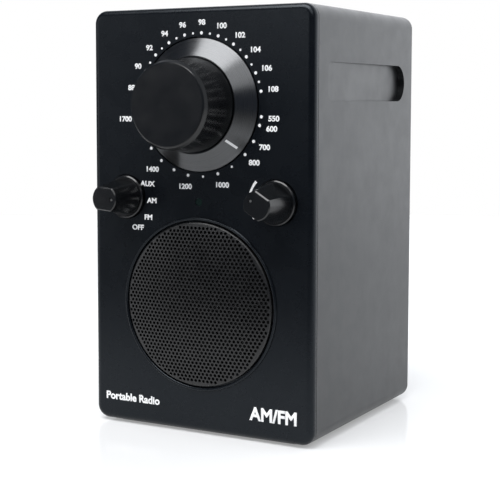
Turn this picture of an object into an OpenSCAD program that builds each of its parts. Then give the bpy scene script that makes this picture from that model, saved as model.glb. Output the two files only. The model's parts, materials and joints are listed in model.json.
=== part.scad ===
// Portable table radio with a moulded cabinet, a geared tuning dial, a round
// loudspeaker, two small control knobs, a rechargeable pack and a rod antenna.
// Millimetres. X runs to the right of the front, Y towards the back, Z up.
// The origin is the centre of the foot pad's underside.

/* [Cabinet] */
// Width across the sides
body_w = 93.7; // [92:0.1:96]
// Height from the foot pad's underside to the top
body_h = 158.8; // [158:0.1:162]
// Depth from the front face to the back face
body_d = 95; // [94:0.5:98]
// Radius of the four long edges
corner_r = 5; // [5:0.5:8]
// Radius around the back face
back_edge_r = 2.6; // [2:0.2:4]
// Radius around the front face
front_edge_r = 2.4; // [1.6:0.1:2.6]
// Wall thickness of the cabinet
wall = 2.8; // [2.4:0.1:3]
// Thickness of the front panel at its rim
panel_t = 3.3; // [3:0.1:3.6]
// Thickness of the rubber foot pad
pad_t = 1; // [0.8:0.1:1.2]
// Depth of the hand grips at their back end
grip_depth = 2.6; // [2:0.2:4]

/* [Tuning dial] */
// Height of the dial's centre
dial_z = 123; // [122:0.5:124]
// Outer radius of the conical dial ring
dial_r = 24.4; // [24:0.1:25]
// Height of the ring's inner edge above the panel
dial_rise = 5; // [4:0.5:6]
// Radius of the tuning knob at its base
knob_r = 17.35; // [17:0.05:17.5]
// How far the tuning knob stands in front of the panel
knob_h = 22.4; // [20:0.2:24]

/* [Vernier drive] */
// Tooth module of the drive
tooth_m = 0.7; // [0.7:0.05:0.75]
// Teeth of the sun gear on the tuning shaft
sun_teeth = 12; // [12]
// Teeth of each planet gear
planet_teeth = 18; // [18]
// Teeth inside the fixed ring gear
ring_teeth = 48; // [48]

/* [Small knobs] */
// Distance of the small knobs from the centre line
small_x = 32; // [31:0.1:33]
// Height of the small knobs' axes
small_z = 88.2; // [87.4:0.1:88.8]
// Radius of a small knob's skirt
skirt_r = 8.1; // [7.8:0.1:8.2]
// How far a small knob stands in front of the panel
small_h = 15.2; // [14:0.2:18]
// Direction the selector knob points in, degrees from the right
selector_angle = -5; // [-67:31:26]
// Direction the volume knob points in, degrees from the right
volume_angle = 148.5; // [100:0.5:200]

/* [Loudspeaker] */
// Height of the loudspeaker's centre
speaker_z = 49.1; // [48.5:0.1:49.5]
// Radius of the grille
grille_r = 30.7; // [30:0.1:31]

/* [Rod antenna] */
// Distance of the rod from the centre line, to the left
rod_x = 28; // [27.5:0.1:28.5]
// Outer radius of the largest tube
rod_r = 3; // [2.9:0.05:3]
// Sliding sections inside the base tube
rod_sections = 3; // [3]
// Length of the base tube
rod_len = 106; // [100:1:108]

/* [Hidden] */
$fn = 64;

front_y = -body_d / 2;
back_y = body_d / 2;
ceiling_z = body_h - wall;
back_in = body_d - wall;           // depth of the back wall's inner face
over = 1;                          // how far a cutter runs past a face

// Hand grips, as depths behind the front face
grip_z = 131.45;
grip_h = 14.1;
grip_front = 11.5;
grip_straight_end = 77.6;
grip_back = grip_straight_end + grip_h / 2;
grip_corner_r = 3;
grip_wall = 2.4;
grip_lead = 0.4;                     // depth of the floor at its front end

// Gasket between the front panel's rim and the cabinet
gasket_t = 0.8;
gasket_inset = 1.3;
seam = 0.25;                       // fine shadow line behind the panel's rim

// Long posts on the front panel that take the case screws
post_x = 39.5;
post_low = 7.9;
post_high = 150.6;
post_r = 3.6;
case_screw_r = 1.5;
case_head_r = 2.8;
case_head_h = 1.3;
case_sink_r = 3.1;
case_sink_d = 1.4;

// Small screws, all alike, and the holes they need
screw_r = 1;
screw_head_r = 2;
screw_head_h = 1.3;
screw_hole_r = 1.3;

// Dial and drive, as depths behind the front face
recess_r = dial_r + 0.6;
recess_d = 1.4;
hub_r = 6.3;
shaft_r = 2.5;
fit = 0.05;                        // running clearance of a shaft in a hole
pressure_angle = 25;
addendum = 0.8;
dedendum = 1.05;
flank_play = 0.07;
flank_steps = 4;
orbit_r = tooth_m * (sun_teeth + planet_teeth) / 2;
planet_angles = [90, 210, 330];
gear_from = 8;
gear_to = 12;
housing_r = 20.5;
housing_from = 4.6;
housing_to = 15;
lug_r = 23.6;
planet_pin_r = 1.2;
carrier_r = 14.6;
frame_from = 16.5;
frame_to = 32.6;
frame_half = 16.5;
frame_t = 1.2;
vane_r = 13.2;
vane_t = 0.5;
vane_pitch = 1.8;
vane_from = 19.6;
rotor_vanes = 6;
dial_axle_r = 3;

// Small knobs and their switch and pot
well_r = skirt_r + 0.5;
well_d = 1.4;
flat_half = 4.3;
flat_slope = 7;
cone_low_r = 7.2;
cone_top_r = 5.3;
edge_cut = 0.4;                    // bevel around a small knob's edges
dimple_r = 0.8;
dimple_x = 3;
board_front = 13.6;
board_t = 1.6;
board_screw_x = 17;
board_screw_z = 94.1;
led_z = 87.3;

// Loudspeaker, as depths behind the front face
grille_t = 0.8;
grille_edge = -0.8;                // the domed sheet stands in front of the panel
grille_crown = 2.2;                // and its middle further still
grille_seat = 2.1;
grille_bend = 0.5;                 // radius of the sheet's turned-down edge
grille_steps = 8;
groove_w = 0.6;                    // between the sheet and the bead around it
groove_d = 1.3;
bead_w = 1.3;
bead_rise = 0.7;
bead_steps = 10;
mouth_r = 28.6;
flange_from = 4.3;
flange_r = 32.6;
ear_orbit = 34.6;
ear_angles = [45, 135, 225, 315];
coil_in = 7.5;
coil_out = 8.1;
plate_from = 21.2;
magnet_from = 24.2;
yoke_from = 32.2;
yoke_to = 35.2;
cone_rim_r = 24;

// Main board and the ferrite rod in front of it
main_front = 52;
spacer_x = 32;
spacer_low = 104.5;
spacer_high = 139;
spacer_r = 2.8;
boss_r = 2.6;
boss_to = 8;
main_half = 35.5;
ferrite_z = 149;
ferrite_depth = 44;

// Battery door, its tray and the pack
door_l = -18;
door_r = 38;
door_low = 15;
door_high = 69;
door_gap = 0.3;
door_t = 2.4;
hinge_r = 2.2;
hinge_z = door_low + door_gap + hinge_r;
hinge_depth = body_d - hinge_r;
stub_r = 1.2;
stub_len = 1.6;
tray_front = 58;
tray_t = 1.6;
cell_r = 7.1;
cell_len = 50.5;

// Socket row
jack_z = 85;
jack_xs = [-4, 11, 26];            // power, line in, headphones
pocket_l = -14;
pocket_r = 36;
pocket_low = 77;
pocket_high = 93;
pocket_d = 3;
jack_board_front = 77;
plug_r = 1.8;
dc_r = 2.9;
dc_pin_r = 1.05;
neck_r = 4;

// Rod antenna in its channel
channel_w = 9;
channel_d = 11.6;
channel_low = 18;
channel_wall = 2;
pivot_depth = body_d - 4;
pivot_z = 24;
pivot_r = 1.25;
knuckle_r = 3.2;
knuckle_w = 4.2;
tube_wall = 0.36;
tube_play = 0.06;
tube_low = 30;
step_up = 1.6;                     // how far each section shows above the last
scoop_z = 145;
scoop_r = 22;
scoop_d = 1.7;
function tube_out(i) = rod_r - i * (tube_wall + tube_play);

// ---- Helpers -------------------------------------------------------------

// Places children on the front face: their +Z comes out of the front,
// their +X and +Y run right and up.
module on_front(x = 0, z = 0)
    translate([x, front_y, z]) rotate([90, 0, 0]) children();

// A disc between two depths behind the front face
module disc(r, d0, d1) translate([0, 0, -d1]) cylinder(r = r, h = d1 - d0);

// A flat ring between two depths
module ring(r_out, r_in, d0, d1)
    difference() {
        disc(r_out, d0, d1);
        disc(r_in, d0 - over, d1 + over);
    }

// A block between two depths, from one corner to the other
module slab(x0, x1, z0, z1, d0, d1)
    translate([x0, z0, -d1]) cube([x1 - x0, z1 - z0, d1 - d0]);

module round_rect(x0, x1, y0, y1, r) {
    translate([x0 + r, y0]) square([x1 - x0 - 2 * r, y1 - y0]);
    translate([x0, y0 + r]) square([x1 - x0, y1 - y0 - 2 * r]);
    for (x = [x0 + r, x1 - r], y = [y0 + r, y1 - r]) translate([x, y]) circle(r);
}

module body_outline(inset)
    round_rect(-body_w / 2 + inset, body_w / 2 - inset, pad_t + inset,
        body_h - inset, corner_r - inset);

// Removes the sharp edge around the body's outline at height 0, leaving a
// radius r; the material is below.
module edge_cutter(r) {
    module corner_profile(base)
        difference() {
            translate([base - r, -r]) square([r + over, r + over]);
            translate([base - r, -r]) circle(r);
        }
    flat_x = body_w - 2 * corner_r;
    flat_y = body_h - pad_t - 2 * corner_r;
    mid_y = (body_h + pad_t) / 2;
    for (a = [0, 180]) {
        translate([0, mid_y, 0]) rotate([0, 0, a]) translate([body_w / 2, 0, 0])
            rotate([90, 0, 0]) translate([0, 0, -flat_y / 2])
                linear_extrude(flat_y) corner_profile(0);
        translate([0, mid_y, 0]) rotate([0, 0, a + 90])
            translate([(body_h - pad_t) / 2, 0, 0])
                rotate([90, 0, 0]) translate([0, 0, -flat_x / 2])
                    linear_extrude(flat_x) corner_profile(0);
    }
    for (q = [0:3])
        translate([(q == 0 || q == 3 ? 1 : -1) * flat_x / 2,
            mid_y + (q < 2 ? 1 : -1) * flat_y / 2, 0])
            rotate([0, 0, 90 * q]) rotate_extrude(angle = 90) corner_profile(corner_r);
}

// A pan-head screw: its head at height 0 and up, its shank below
module screw(shank_r, shank_len, head_r, head_h) {
    difference() {
        cylinder(r = head_r, h = head_h);
        for (a = [0, 90]) rotate([0, 0, a])
            translate([-head_r * 0.55, -head_r * 0.13, head_h * 0.45])
                cube([head_r * 1.1, head_r * 0.26, head_h]);
    }
    translate([0, 0, -shank_len]) cylinder(r = shank_r, h = shank_len + 0.01);
}

// ---- Gears ---------------------------------------------------------------

function involute(a) = tan(a) * 180 / PI - a;

// Half the angle that a tooth fills at radius r
function tooth_half(teeth, r, play) =
    let (pitch_r = tooth_m * teeth / 2, base_r = pitch_r * cos(pressure_angle),
        at = acos(base_r / max(r, base_r)))
    90 / teeth - play / pitch_r * 180 / PI + involute(pressure_angle) - involute(at);

// The outline of a gear's teeth between its root and tip radii
module gear_outline(teeth, root_r, tip_r, play) {
    flank = [for (i = [0:flank_steps]) root_r + (tip_r - root_r) * i / flank_steps];
    polygon([for (k = [0:teeth - 1], s = [-1, 1], i = [0:flank_steps])
        let (r = flank[s < 0 ? i : flank_steps - i],
            a = 360 * k / teeth + s * tooth_half(teeth, r, play))
        [r * cos(a), r * sin(a)]]);
}

module external_gear(teeth, bore_r) {
    pitch_r = tooth_m * teeth / 2;
    translate([0, 0, -gear_to]) difference() {
        linear_extrude(gear_to - gear_from) gear_outline(teeth,
            pitch_r - dedendum * tooth_m, pitch_r + addendum * tooth_m, flank_play);
        if (bore_r > 0) translate([0, 0, -over])
            cylinder(r = bore_r, h = gear_to - gear_from + 2 * over);
    }
}

// ---- Cabinet -------------------------------------------------------------

module grip_outline(grow) {
    round_rect(grip_front - grow, grip_straight_end, -grip_h / 2 - grow,
        grip_h / 2 + grow, grip_corner_r);
    translate([grip_straight_end - grip_h / 4, -grip_h / 2 - grow])
        square([grip_h / 4, grip_h + 2 * grow]);
    translate([grip_straight_end, 0]) circle(grip_h / 2 + grow);
}

// A hand grip on the +X side: its floor slopes in towards the back
module grip_cut() {
    slope = atan((grip_depth - grip_lead) / (grip_back - grip_front));
    intersection() {
        translate([body_w / 2 - grip_depth - over, 0, grip_z])
            rotate([90, 0, 90]) linear_extrude(grip_depth + 2 * over)
                translate([front_y, 0]) grip_outline(0);
        translate([body_w / 2 - grip_lead, front_y + grip_front, 0]) rotate([0, 0, slope])
            translate([0, -5, 0]) cube([20, 120, body_h]);
    }
}

module grip_backing()
    translate([body_w / 2 - grip_depth - grip_wall, 0, grip_z])
        rotate([90, 0, 90]) linear_extrude(grip_depth + grip_wall - 0.5)
            translate([front_y, 0]) intersection() {
                grip_outline(grip_wall);
                translate([30, -20]) square([back_in - 29, 40]);
            }

module channel_block() slab(-rod_x - channel_w / 2 - channel_wall,
    -rod_x + channel_w / 2 + channel_wall, channel_low - channel_wall,
    ceiling_z + 0.5, body_d - channel_d - channel_wall, back_in + 0.5);

module socket_pocket_backing() slab(pocket_l - 2, pocket_r + 2, pocket_low - 2,
    pocket_high + 2, body_d - pocket_d - 2.4, back_in + 0.5);

module jack_board_post(x, z) translate([x, z, 0])
    disc(boss_r, jack_board_front + board_t, back_in + 0.5);

module cabinet_shell() color([0.13, 0.135, 0.145]) difference() {
    union() {
        on_front() difference() {
            translate([0, 0, -body_d]) linear_extrude(body_d - panel_t) body_outline(0);
            translate([0, 0, -body_d]) mirror([0, 0, 1]) edge_cutter(back_edge_r);
            translate([0, 0, -back_in]) linear_extrude(back_in) body_outline(wall);
            // rebate for the gasket behind the front panel's rim
            translate([0, 0, -panel_t - gasket_t]) linear_extrude(gasket_t + over)
                body_outline(gasket_inset);
            translate([0, 0, -panel_t - seam]) linear_extrude(seam + over) difference() {
                body_outline(-over);
                body_outline(seam);
            }
        }
        for (s = [0, 1]) mirror([s, 0, 0]) grip_backing();
        on_front() {
            channel_block();
            socket_pocket_backing();
            for (x = [pocket_l + 1, pocket_r - 1], z = [pocket_high + 3])
                jack_board_post(x, z);
        }
    }
    for (s = [0, 1]) mirror([s, 0, 0]) grip_cut();
    on_front() {
        // channel for the rod antenna, open at the top
        slab(-rod_x - channel_w / 2, -rod_x + channel_w / 2, channel_low,
            body_h + over, body_d - channel_d, body_d + over);
        // finger scoop beside the rod's tip
        translate([-rod_x, scoop_z, -body_d - scoop_r + scoop_d]) sphere(r = scoop_r);
        // battery door opening and its hinge sockets
        slab(door_l, door_r, door_low, door_high, back_in - over, body_d + over);
        translate([door_l - stub_len, hinge_z, -hinge_depth]) rotate([0, 90, 0])
            cylinder(r = stub_r + fit, h = door_r - door_l + 2 * stub_len);
        // socket row
        slab(pocket_l, pocket_r, pocket_low, pocket_high, body_d - pocket_d,
            body_d + over);
        for (x = jack_xs) translate([x, jack_z, 0])
            disc(neck_r + 0.15, body_d - pocket_d - 5, body_d);
        for (x = [pocket_l + 1, pocket_r - 1])
            translate([x, pocket_high + 3, 0])
                disc(screw_r, jack_board_front, jack_board_front + 8);
        // case screws
        for (x = [-post_x, post_x], z = [post_low, post_high]) translate([x, z, 0]) {
            disc(case_screw_r + 0.2, back_in - over, body_d + over);
            disc(case_sink_r, body_d - case_sink_d, body_d + over);
        }
    }
}

// Places of the screw bosses behind the panel, each [x, z, its rear face's depth]
bosses = [
    for (x = [-spacer_x, spacer_x], z = [spacer_low, spacer_high]) [x, z, boss_to],
    for (x = [-board_screw_x, board_screw_x]) [x, board_screw_z, board_front],
    for (a = planet_angles) [lug_r * cos(a + 60), dial_z + lug_r * sin(a + 60),
        housing_from],
    for (a = ear_angles) [ear_orbit * cos(a), speaker_z + ear_orbit * sin(a),
        flange_from]
];

// A raised bead around the grille, half an ellipse in section
module grille_bead() {
    middle_r = grille_r + groove_w + bead_w / 2;
    arch = [for (i = [0:bead_steps]) let (a = 180 * i / bead_steps)
        [middle_r + bead_w / 2 * cos(a), -bead_rise * sin(a)]];
    turned(concat(arch, [[middle_r - bead_w / 2, 0.5], [middle_r + bead_w / 2, 0.5]]));
}

module front_panel() color([0.12, 0.125, 0.135]) on_front() difference() {
    union() {
        difference() {
            translate([0, 0, -panel_t]) linear_extrude(panel_t) body_outline(0);
            edge_cutter(front_edge_r);
        }
        // spigot that locates the panel in the cabinet
        difference() {
            translate([0, 0, -7]) linear_extrude(7 - panel_t + 0.2)
                body_outline(wall + 0.15);
            translate([0, 0, -8]) linear_extrude(8 - panel_t) body_outline(wall + 1.8);
        }
        for (x = [-post_x, post_x], z = [post_low, post_high]) translate([x, z, 0])
            disc(post_r, panel_t - 0.2, back_in);
        for (b = bosses) translate([b[0], b[1], 0]) disc(boss_r, panel_t - 0.2, b[2]);
        translate([0, speaker_z, 0]) grille_bead();
    }
    for (x = [-post_x, post_x], z = [post_low, post_high]) translate([x, z, 0])
        disc(case_screw_r - 0.05, back_in - 12, back_in + over);
    for (b = bosses) translate([b[0], b[1], 0]) disc(screw_r, max(1.3, b[2] - 6), b[2] + over);
    translate([0, dial_z, 0]) {
        disc(recess_r, -over, recess_d);
        disc(hub_r + 0.6, 0, panel_t + over);
    }
    for (x = [-small_x, small_x]) translate([x, small_z, 0]) {
        disc(well_r, -over, well_d);
        disc(shaft_r + 1.1, 0, panel_t + over);
    }
    translate([0, led_z, 0]) disc(1.55, -over, panel_t + over);
    translate([0, speaker_z, 0]) {
        disc(grille_r + groove_w, -over, groove_d);
        disc(grille_r + 0.15, 0, grille_seat);
        disc(mouth_r, 0, panel_t + over);
    }
}

module panel_gasket() color([0.05, 0.05, 0.05]) on_front()
    translate([0, 0, -panel_t - gasket_t]) difference() {
        linear_extrude(gasket_t) body_outline(gasket_inset);
        translate([0, 0, -over]) linear_extrude(gasket_t + 2 * over)
            body_outline(wall + 0.15);
    }

module case_screws() color([0.55, 0.56, 0.58]) on_front()
    for (x = [-post_x, post_x], z = [post_low, post_high])
        translate([x, z, -body_d + case_sink_d]) mirror([0, 0, 1])
            screw(case_screw_r - 0.05, 11, case_head_r, case_head_h);

module foot_pad() color([0.06, 0.06, 0.06])
    linear_extrude(pad_t) round_rect(-41.5, 41.5, front_y + 5, back_y - 11, 5);

// ---- Loudspeaker ---------------------------------------------------------

module on_speaker() on_front(0, speaker_z) children();

// A solid of revolution about the speaker's axis from [radius, depth] points
module turned(points) rotate_extrude()
    polygon([for (p = points) [p[0], -p[1]]]);

module speaker_grille() color([0.06, 0.06, 0.065]) on_speaker() {
    dome_r = grille_r - grille_bend;
    back_r = grille_r - grille_t;
    shares = [for (i = [0:grille_steps]) i / grille_steps];
    front = [for (s = shares) [dome_r * s, grille_edge - grille_crown * (1 - s * s)]];
    bend = [for (a = [30, 60, 90])
        [dome_r + grille_bend * sin(a), grille_edge + grille_bend * (1 - cos(a))]];
    back = [for (i = [grille_steps:-1:0]) [back_r * shares[i], front[i][1] + grille_t]];
    turned(concat(front, bend, [[grille_r, grille_seat], [back_r, grille_seat]], back));
}

module speaker_gasket() color([0.12, 0.12, 0.12]) on_speaker()
    ring(32, 29, panel_t, flange_from);

module speaker_basket() color([0.35, 0.36, 0.38]) on_speaker() {
    difference() {
        union() {
            ring(flange_r, 28.9, flange_from, flange_from + 1.2);
            for (a = ear_angles) rotate([0, 0, a]) translate([ear_orbit, 0, 0])
                disc(3, flange_from, flange_from + 1.2);
            turned([[28.9, 5.5], [30.1, 5.5], [20.2, 20], [20.2, plate_from],
                [9, plate_from], [9, 20], [19, 20]]);
        }
        disc(28.9, flange_from - over, flange_from + 1.25);
        for (a = ear_angles) rotate([0, 0, a]) translate([ear_orbit, 0, 0])
            disc(1.4, 0, 12);
        // windows between the basket's arms
        for (a = [0:60:300]) rotate([0, 0, a]) slab(14, 34, -6, 6, 9, 18.5);
    }
}

module speaker_surround() color([0.08, 0.08, 0.08]) on_speaker()
    turned([[cone_rim_r + 0.3, 5.6], [25, 4.6], [26.2, 3.9], [27.4, 4.4], [28.3, 4.9],
        [28.9, 4.9], [28.9, 5.4], [27.6, 5.4], [26.9, 5], [26.2, 4.6], [25.4, 5.2], [24.8, 6.1],
        [cone_rim_r + 0.3, 6.1]]);

module speaker_cone() color([0.16, 0.16, 0.17]) on_speaker() {
    turned([[cone_rim_r, 6.6], [cone_rim_r, 7.2], [coil_out, 16], [coil_in, 16],
        [coil_in, 15.4]]);
    turned([[0, 12.2], [4, 12.7], [7.4, 14.4], [coil_out + 0.4, 15.2],
        [coil_out + 0.4, 15.8], [7.2, 14.9], [3.9, 13.2], [0, 12.7]]);
}

module voice_coil() color([0.72, 0.42, 0.2]) on_speaker()
    ring(coil_out, coil_in, 16, 27);

module speaker_spider() color([0.62, 0.5, 0.28]) on_speaker()
    turned([[coil_out + 0.3, 18], [9.6, 17.3], [11, 18], [12.4, 17.3], [13.8, 18],
        [15.2, 17.3], [16.6, 18], [20.1, 18], [20.1, 18.4], [16.5, 18.4],
        [15.2, 17.7], [13.8, 18.4], [12.4, 17.7], [11, 18.4], [9.6, 17.7],
        [coil_out + 0.3, 18.4]]);

module speaker_top_plate() color([0.6, 0.61, 0.63]) on_speaker()
    ring(19, coil_out + 0.3, plate_from, magnet_from);

module speaker_magnet() color([0.2, 0.2, 0.21]) on_speaker()
    ring(21, 11, magnet_from, yoke_from);

module speaker_yoke() color([0.58, 0.59, 0.61]) on_speaker() {
    disc(19, yoke_from, yoke_to);
    disc(coil_in - 0.3, plate_from, yoke_from + 0.1);
}

// ---- Tuning dial and vernier drive ----------------------------------------

module on_dial() on_front(0, dial_z) children();

module tuning_knob() color([0.09, 0.09, 0.1]) on_dial() difference() {
    rotate_extrude() polygon([[0, 4], [6, 4], [6, 4.2], [knob_r, 4.2],
        [knob_r, 5.2], [knob_r - 1.4, knob_h - 1.6], [knob_r - 2.1, knob_h - 0.45],
        [knob_r - 2.35, knob_h - 0.15], [knob_r - 2.75, knob_h], [0, knob_h]]);
    rotate_extrude() polygon([[6, 3], [15.2, 3], [14.2, knob_h - 3], [6, knob_h - 3]]);
    translate([0, 0, 3]) cylinder(r = shaft_r, h = 13);
}

module sun_gear_shaft() color([0.75, 0.72, 0.6]) on_dial() {
    translate([0, 0, -gear_from]) cylinder(r = shaft_r, h = gear_from + 16);
    external_gear(sun_teeth, 0);
    disc(1.5, gear_to - 0.1, 13.4);
}

module dial_ring() color([0.25, 0.25, 0.26]) on_dial() rotate_extrude()
    polygon([[hub_r - 2, 3.2], [hub_r - 2, -4.6], [hub_r, -4.6], [hub_r, -0.9],
        [dial_r, -0.9], [dial_r, 0.1], [17.95, dial_rise], [17.7, dial_rise],
        [17.7, 3.2]]);

module planet_carrier() color([0.7, 0.71, 0.73]) on_dial() {
    ring(hub_r, shaft_r + fit, 4.6, 6);
    ring(carrier_r, shaft_r + fit, 6, 7.5);
    for (a = planet_angles) rotate([0, 0, a]) translate([orbit_r, 0, 0])
        disc(planet_pin_r, 7.4, 14);
}

module carrier_plate() color([0.7, 0.71, 0.73]) on_dial() {
    difference() {
        disc(carrier_r, 12.5, 14);
        for (a = planet_angles) rotate([0, 0, a]) translate([orbit_r, 0, 0])
            disc(planet_pin_r, 12, 15);
        disc(1.5 + fit, 12, 13.7);
    }
    disc(dial_axle_r, 13.9, 18.4);
}

module planet_gear(k) color([0.8, 0.65, 0.3]) on_dial()
    rotate([0, 0, planet_angles[k]]) translate([orbit_r, 0, 0])
        rotate([0, 0, 180 + 180 / planet_teeth])
            external_gear(planet_teeth, planet_pin_r + fit);

module planet_gear_1() planet_gear(0);
module planet_gear_2() planet_gear(1);
module planet_gear_3() planet_gear(2);

module vernier_housing() color([0.62, 0.63, 0.65]) on_dial() {
    pitch_r = tooth_m * ring_teeth / 2;
    difference() {
        union() {
            disc(housing_r, housing_from, housing_to);
            for (a = planet_angles) rotate([0, 0, a + 60]) {
                translate([lug_r, 0, 0]) disc(2.6, housing_from, housing_from + 2);
                slab(housing_r - 2, lug_r, -2.6, 2.6, housing_from, housing_from + 2);
            }
        }
        disc(hub_r + 0.5, 0, housing_to + over);
        disc(pitch_r - addendum * tooth_m, housing_from + 1, housing_to + over);
        translate([0, 0, -housing_to - over])
            linear_extrude(housing_to + over - gear_from + 0.4)
            rotate([0, 0, 180 / ring_teeth]) gear_outline(ring_teeth,
                pitch_r - addendum * tooth_m - 0.1, pitch_r + dedendum * tooth_m,
                -flank_play);
        for (a = planet_angles) rotate([0, 0, a + 60]) translate([lug_r, 0, 0])
            disc(1.4, 0, 12);
    }
}

module vernier_back() color([0.62, 0.63, 0.65]) on_dial() {
    difference() {
        disc(housing_r, housing_to, frame_from);
        disc(dial_axle_r + fit, housing_to - over, frame_from + over);
    }
}

module capacitor_frame() color([0.66, 0.67, 0.69]) on_dial() difference() {
    union() {
        slab(-frame_half, frame_half, -frame_half, frame_half, frame_from,
            frame_from + frame_t);
        slab(-frame_half, frame_half, -frame_half, frame_half, frame_to - frame_t,
            frame_to);
        slab(-frame_half, frame_half, -frame_half, -frame_half + frame_t,
            frame_from, frame_to);
        slab(-frame_half, frame_half, frame_half - frame_t, frame_half,
            frame_from, frame_to);
    }
    disc(dial_axle_r + fit, frame_from - over, frame_to + over);
}

module vane(reach, hole_r, d0) difference() {
    disc(reach, d0, d0 + vane_t);
    disc(hole_r, d0 - over, d0 + vane_t + over);
    slab(-reach - 1, reach + 1, -reach - 1, 0, d0 - over, d0 + vane_t + over);
}

// The moving vanes are half discs; the fixed ones lie in the gaps between them
module capacitor_rotor() color([0.82, 0.83, 0.85]) on_dial() {
    disc(dial_axle_r, 18.4, frame_to + 2);
    rotate([0, 0, 30]) for (i = [0:rotor_vanes - 1])
        vane(vane_r, dial_axle_r - 0.5, vane_from + i * vane_pitch);
}

module capacitor_stator() color([0.82, 0.83, 0.85]) on_dial() {
    for (i = [0:rotor_vanes - 2]) {
        d0 = vane_from + vane_pitch / 2 + i * vane_pitch;
        rotate([0, 0, 210]) vane(vane_r + 0.4, dial_axle_r + 1, d0);
        slab(12, 15.3, -4, 4, d0, d0 + vane_t);
    }
    slab(14, 15.3, -4, 4, frame_from + frame_t, frame_to - frame_t);
}

// ---- Small controls --------------------------------------------------------

// A small knob pointing along +X: a skirt, then a cone with two flats
module small_knob() difference() {
    union() {
        translate([0, 0, -0.9]) cylinder(r = skirt_r, h = 2.1);
        translate([0, 0, 1.2]) cylinder(r1 = skirt_r, r2 = skirt_r - 0.4, h = 0.4);
        translate([0, 0, 1.6])
            cylinder(r1 = cone_low_r, r2 = cone_top_r, h = small_h - edge_cut - 1.6);
        translate([0, 0, small_h - edge_cut])
            cylinder(r1 = cone_top_r, r2 = cone_top_r - edge_cut, h = edge_cut);
    }
    for (s = [-1, 1]) {
        translate([0, s * flat_half, small_h]) rotate([s * flat_slope, 0, 0])
            translate([-10, s > 0 ? 0 : -10, -small_h + 2]) cube([20, 10, small_h + 2]);
        translate([0, s * (flat_half - edge_cut), small_h]) rotate([s * 45, 0, 0])
            translate([-10, s > 0 ? 0 : -10, -5]) cube([20, 10, 10]);
    }
    translate([dimple_x, 0, small_h]) sphere(r = dimple_r);
    translate([0, 0, -2]) cylinder(r = shaft_r, h = 12);
}

module selector_knob() color([0.09, 0.09, 0.1]) on_front(-small_x, small_z)
    rotate([0, 0, selector_angle]) small_knob();

module volume_knob() color([0.09, 0.09, 0.1]) on_front(small_x, small_z)
    rotate([0, 0, volume_angle]) small_knob();

module selector_shaft() color([0.75, 0.76, 0.78]) on_front(-small_x, small_z)
    disc(shaft_r, -10, 9);

module volume_shaft() color([0.75, 0.76, 0.78]) on_front(small_x, small_z)
    disc(shaft_r, -10, 9);

module selector_switch() color([0.2, 0.32, 0.5]) on_front(-small_x, small_z)
    difference() {
        union() {
            slab(-8.5, 8.5, -8.5, 8.5, 6, board_front);
            disc(3.4, 4.2, 6);
        }
        disc(shaft_r + fit, 0, 9 + 0.3);
    }

module volume_pot() color([0.2, 0.45, 0.3]) on_front(small_x, small_z)
    difference() {
        union() {
            disc(8.2, 6, board_front);
            slab(-8.2, 8.2, -9, 0, 10, board_front);
            disc(3.4, 4.2, 6);
        }
        disc(shaft_r + fit, 0, 9 + 0.3);
    }

module status_led() color([0.25, 0.4, 0.3]) on_front(0, led_z) {
    disc(1.5, 0.25, 6.5);
    disc(2.2, 6.4, 7.4);
    for (x = [-0.9, 0.9]) translate([x, 0, 0]) disc(0.3, 7.3, board_front);
}

// ---- Boards ----------------------------------------------------------------

module control_board() color([0.1, 0.35, 0.18]) on_front() difference() {
    slab(-42, 42, 78, 99, board_front, board_front + board_t);
    for (x = [-board_screw_x, board_screw_x]) translate([x, board_screw_z, 0])
        disc(screw_hole_r, 0, board_front + 4);
}

module main_board() color([0.1, 0.35, 0.18]) on_front() difference() {
    slab(-main_half, main_half, 78, 154, main_front, main_front + board_t);
    for (x = [-spacer_x, spacer_x], z = [spacer_low, spacer_high])
        translate([x, z, 0]) disc(screw_hole_r, main_front - over, main_front + 4);
}

module board_spacers() color([0.8, 0.68, 0.35]) on_front()
    for (x = [-spacer_x, spacer_x], z = [spacer_low, spacer_high])
        translate([x, z, 0]) difference() {
            disc(spacer_r, boss_to, main_front);
            disc(screw_r, main_front - 6, main_front + over);
        }

module board_chips() color([0.1, 0.1, 0.11]) on_front() {
    slab(-24, -12, 84, 96, main_front - 2.2, main_front);
    slab(-6, 12, 88, 95, main_front - 3, main_front);
    for (x = [18, 27], z = [86, 97]) translate([x, z, 0])
        disc(3.2, main_front - 9, main_front);
    slab(-28, -18, 108, 124, main_front + board_t, main_front + board_t + 2.2);
    for (x = [-4, 7, 18]) translate([x, 90, 0])
        disc(4, main_front + board_t, main_front + board_t + 12);
}

module shield_cans() color([0.78, 0.79, 0.8]) on_front() {
    slab(-28, -2, 100, 138, main_front - 8, main_front);
    for (x = [8, 18], z = [108, 120]) slab(x, x + 7, z, z + 7, main_front - 10,
        main_front);
}

module ferrite_rod() color([0.18, 0.17, 0.17]) on_front()
    translate([-28, ferrite_z, -ferrite_depth]) rotate([0, 90, 0])
        cylinder(r = 4, h = 56);

module ferrite_coil() color([0.75, 0.45, 0.22]) on_front()
    for (x = [-24, 12]) translate([x, ferrite_z, -ferrite_depth]) rotate([0, 90, 0])
        difference() {
            cylinder(r = 4.9, h = 12);
            translate([0, 0, -over]) cylinder(r = 4, h = 14);
        }

module ferrite_clips() color([0.85, 0.84, 0.78]) on_front()
    for (x = [-8, 5]) difference() {
        union() {
            translate([x, ferrite_z, -ferrite_depth]) rotate([0, 90, 0])
                cylinder(r = 5.6, h = 3);
            slab(x, x + 3, ferrite_z - 3, ferrite_z + 3, ferrite_depth, main_front);
        }
        translate([x - over, ferrite_z, -ferrite_depth]) rotate([0, 90, 0])
            cylinder(r = 4, h = 5);
    }

// Every small screw: along the screw's own axis its head faces the back
module small_screw(x, z, head_depth) translate([x, z, -head_depth])
    mirror([0, 0, 1]) screw(screw_r, 4, screw_head_r, screw_head_h);

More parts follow.
